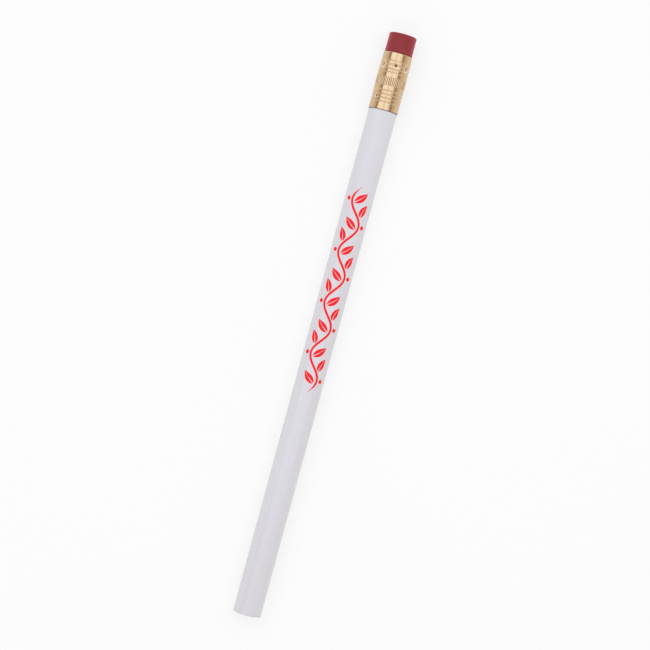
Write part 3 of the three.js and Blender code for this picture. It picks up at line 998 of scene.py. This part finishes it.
class Print:
    """Ink patches bent round the barrel. A place is (x, distance round the barrel)."""

    def __init__(self):
        self.points, self.faces = [], []

    def film(self, low, high):
        """A thin closed patch of ink between two lines of places."""
        share = np.linspace(0, 1, FILM_COLUMNS)[None, :, None]
        top = low[:, None] + share * (high - low)[:, None]
        places = np.concatenate((top, top[:, ::-1]), axis=1)
        lift = np.repeat((PRINT_HEIGHT, -PRINT_HEIGHT), FILM_COLUMNS)
        rows = turn(places[..., 0], BARREL_RADIUS + lift, places[..., 1] / BARREL_RADIUS)
        count, columns = rows.shape[:2]
        start = len(self.points)
        last = start + (count - 1) * columns
        self.points.extend(rows.reshape(-1, 3).tolist())
        self.faces.extend(grid_faces(count, columns, start))
        self.faces.append([start + i for i in reversed(range(columns))])
        self.faces.append([last + i for i in range(columns)])

    def stroke(self, line, half):
        aside = sideways(line) * half[:, None]
        self.film(line - aside, line + aside)

    def leaf(self, kind, root, side):
        """An almond in two halves, with a bare vein between them."""
        share = np.linspace(0, 1, LEAF_STEPS)
        heading = side * (kind.heading + kind.bend * (share - 0.5))
        step = kind.length / LEAF_STEPS * np.stack((np.cos(heading), np.sin(heading)), axis=1)
        line = root + np.cumsum(step, axis=0)
        aside = sideways(line)
        vein = (LEAF_VEIN / 2 * (1 - VEIN_TAPER * share))[:, None] * aside
        width = EDGE_SLIVER + kind.half * np.sin(np.pi * share ** LEAF_SKEW) ** LEAF_FULLNESS
        edge = width[:, None] * aside
        self.film(line + vein, line + vein + edge)
        self.film(line - vein - edge, line - vein)

    def berry(self, middle):
        share = np.sin(np.linspace(-math.pi / 2, math.pi / 2, BERRY_STEPS))
        line = middle + np.stack((share * BERRY_RADIUS, np.zeros(BERRY_STEPS)), axis=1)
        self.stroke(line, EDGE_SLIVER + BERRY_RADIUS * np.sqrt(1 - share ** 2))


def leaf_root(kind, wave):
    """Where a leaf starts, beside a stem that rises from its crossing at (0, 0)."""
    turn_there = 2 * math.pi * kind.place
    slope = math.atan(VINE_SWING * 2 * math.pi / wave * math.cos(turn_there))
    reach = kind.outward * (STEM_HALF + LEAF_GAP)
    along = kind.place * wave - reach * math.sin(slope)
    return along, VINE_SWING * math.sin(turn_there) + reach * math.cos(slope)


def ornament(material):
    ink = Print()
    wave = (PRINT_END - PRINT_START) / VINE_WAVES
    along = np.linspace(PRINT_START, PRINT_END, STEM_STEPS * VINE_WAVES + 1)
    swing = VINE_SWING * np.sin(2 * np.pi * (along - PRINT_START) / wave)
    from_end = np.minimum(along - PRINT_START, PRINT_END - along)
    ink.stroke(np.stack((along, swing), axis=1), STEM_HALF * np.clip(from_end / STEM_TAPER, STEM_TIP, 1))
    berry_rise = VINE_SWING + STEM_HALF + BERRY_GAP + BERRY_RADIUS
    bends = 2 * VINE_WAVES
    for i in range(bends):
        side = 1 if i % 2 == 0 else -1
        crossing = PRINT_START + wave * i / 2
        for kind in (INNER_LEAF, OUTER_LEAF) if i < bends - 1 else (INNER_LEAF,):
            on, off = leaf_root(kind, wave)
            ink.leaf(kind, np.array([crossing + on, side * off]), side)
        ink.berry(np.array([crossing + wave / 4, side * berry_rise]))
    made = mesh_object("barrel_ornament", ink.points, ink.faces, material)
    made.data.set_sharp_from_angle(angle=PRINT_SHARP)
    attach(made, "root")


# Floor, light and camera

FLOOR_HALF = 6.0
FLOOR_GLOW = 0.7  # share of what is seen of the floor that is plain white
WALL_LIGHT = (0.86, 0.76, 0.69, 1)  # the surround near the horizon, at the pencil's sides
GAP_LIGHT = (0.48, 0.435, 0.39, 1)  # the darker strip between the surround and the lamps
END_LIGHT = (0.955, 0.94, 0.92, 1)  # the bright screens beyond the pencil's two ends
GAP_START, GAP_FULL = 0.34, 0.42  # heights of the gap, as the sine of the elevation
GAP_TILT = 0.06  # the gap lies lower on the left
ENDS_START, ENDS_FULL = 0.34, 0.54  # where the end screens begin, as the x of a direction
LAMP_HEIGHT = 1.4
LAMP_ENDS = (-0.38, 0.88)  # along x: they reach further over the eraser
LAMP_POWER = 3.32  # watts per square metre of panel
LAMP_COLOUR = (0.92, 1.035, 1.2)
LAMP_PANELS = (  # left and right edge, in degrees to the left of straight up, and share of the power
    (49, 14, 1.0),
    (14, -2, 0.76),
    (-2, -22, 1.0),
    (-22, -39, 0.8),
)
CAMERA_ROLL = math.radians(15.15)  # the pencil's lean in the picture, clockwise from upright
CAMERA_HEIGHT = 1.078  # above the pencil's axis
CAMERA_FOOT_X = 0.0328  # the camera stands over this point of the axis
CAMERA_TARGET = Vector((0.0003, 0.0, AXIS_Z))
CAMERA_FOCAL_PIXELS = 1695
IMAGE_PIXELS = 650
SENSOR_WIDTH = 36  # in millimetres, as Blender counts it


def floor():
    """A white floor that glows for the rays that see it and still takes the pencil's shadow."""
    look = Nodes("floor_white")
    look.set(Roughness=0.9)
    shade = look.spread(look.noise(look.place, 3, 2), 0.3, 0.7)
    look.feed("Base Color", look.mix(shade, linear(247, 247, 248), linear(249, 249, 249)))
    rays = look.add("ShaderNodeLightPath")
    seen = look.math("MAXIMUM", rays.outputs["Is Camera Ray"], rays.outputs["Is Glossy Ray"])
    seen = look.math("MAXIMUM", seen, rays.outputs["Is Transmission Ray"])
    glow = look.add("ShaderNodeEmission")
    glow.inputs["Strength"].default_value = 1.0
    blend = look.add("ShaderNodeMixShader")
    look.link(look.math("MULTIPLY", seen, FLOOR_GLOW), blend.inputs[0])
    look.link(look.shader.outputs[0], blend.inputs[1])
    look.link(glow.outputs[0], blend.inputs[2])
    look.link(blend.outputs[0], look.tree.nodes["Material Output"].inputs["Surface"])
    corners = [(x * FLOOR_HALF, y * FLOOR_HALF, 0) for x, y in ((-1, -1), (1, -1), (1, 1), (-1, 1))]
    mesh_object("floor", corners, [(0, 1, 2, 3)], look.material)


def world():
    """A plain surround: dim at the sides and bright beyond the ends."""
    made = bpy.data.worlds.new("studio")
    bpy.context.scene.world = made
    made.use_nodes = True
    tree = made.node_tree

    def add(kind, *links, **settings):
        node = tree.nodes.new(kind)
        for name, value in settings.items():
            setattr(node, name, value)
        for output, index in links:
            tree.links.new(output, node.inputs[index])
        return node

    direction = add("ShaderNodeTexCoord").outputs["Generated"]
    height = add("ShaderNodeVectorMath", (direction, 0), operation="DOT_PRODUCT")
    height.inputs[1].default_value = (0, GAP_TILT, 1)
    ramp = add("ShaderNodeValToRGB", (height.outputs["Value"], 0))
    stops = ((GAP_START, WALL_LIGHT), (GAP_FULL, GAP_LIGHT))
    for element, (place, light) in zip(ramp.color_ramp.elements, stops):
        element.position = place
        element.color = light
    endways = add("ShaderNodeVectorMath", (direction, 0), operation="ABSOLUTE")
    split = add("ShaderNodeSeparateXYZ", (endways.outputs[0], 0))
    share = add("ShaderNodeMapRange", (split.outputs["X"], 0), interpolation_type="SMOOTHSTEP")
    share.inputs["From Min"].default_value = ENDS_START
    share.inputs["From Max"].default_value = ENDS_FULL
    ends = add("ShaderNodeMix", (share.outputs[0], 0), (ramp.outputs["Color"], 6), data_type="RGBA")
    ends.inputs[7].default_value = END_LIGHT
    tree.links.new(ends.outputs[2], tree.nodes["Background"].inputs["Color"])


def lamps():
    """A row of soft panels overhead, each between two angles seen from the pencil."""
    for left, right, share in LAMP_PANELS:
        high_y, low_y = (LAMP_HEIGHT * math.tan(math.radians(edge)) for edge in (left, right))
        lamp = bpy.data.lights.new("panel", "AREA")
        lamp.shape = "RECTANGLE"
        lamp.color = LAMP_COLOUR
        lamp.size, lamp.size_y = LAMP_ENDS[1] - LAMP_ENDS[0], high_y - low_y
        lamp.energy = share * LAMP_POWER * lamp.size * lamp.size_y
        made = bpy.data.objects.new("panel", lamp)
        made.location = (sum(LAMP_ENDS) / 2, (high_y + low_y) / 2, AXIS_Z + LAMP_HEIGHT)
        bpy.context.scene.collection.objects.link(made)


def camera():
    lens = bpy.data.cameras.new("camera")
    lens.sensor_width = SENSOR_WIDTH
    lens.lens = SENSOR_WIDTH * CAMERA_FOCAL_PIXELS / IMAGE_PIXELS
    made = bpy.data.objects.new("camera", lens)
    bpy.context.scene.collection.objects.link(made)
    place = Vector((CAMERA_FOOT_X, CAMERA_TARGET.y, AXIS_Z + CAMERA_HEIGHT))
    back = (place - CAMERA_TARGET).normalized()
    upright = Vector((math.cos(CAMERA_ROLL), math.sin(CAMERA_ROLL), 0))
    right = upright.cross(back).normalized()
    top = back.cross(right)
    turned = Matrix((right, top, back)).transposed()
    made.matrix_world = Matrix.Translation(place) @ turned.to_4x4()
    bpy.context.scene.camera = made


# Assembly

camera()
floor()
world()
lamps()
lacquer_coat(lacquer_material())
slat("slat_upper", "casing_upper", wood_material("slat_wood_upper", UPPER_PITH), upward=True)
slat("slat_lower", "casing_lower", wood_material("slat_wood_lower", LOWER_PITH), upward=False)
graphite_core(graphite_material())
ferrule(brass_material())
eraser(rubber_material())
ornament(ink_material())
film = glue_material()
for side in ("glue_film_left", "glue_film_right"):
    frame["nodes"][side].data.materials.clear()
    frame["nodes"][side].data.materials.append(film)

bpy.context.scene.view_settings.view_transform = "Standard"
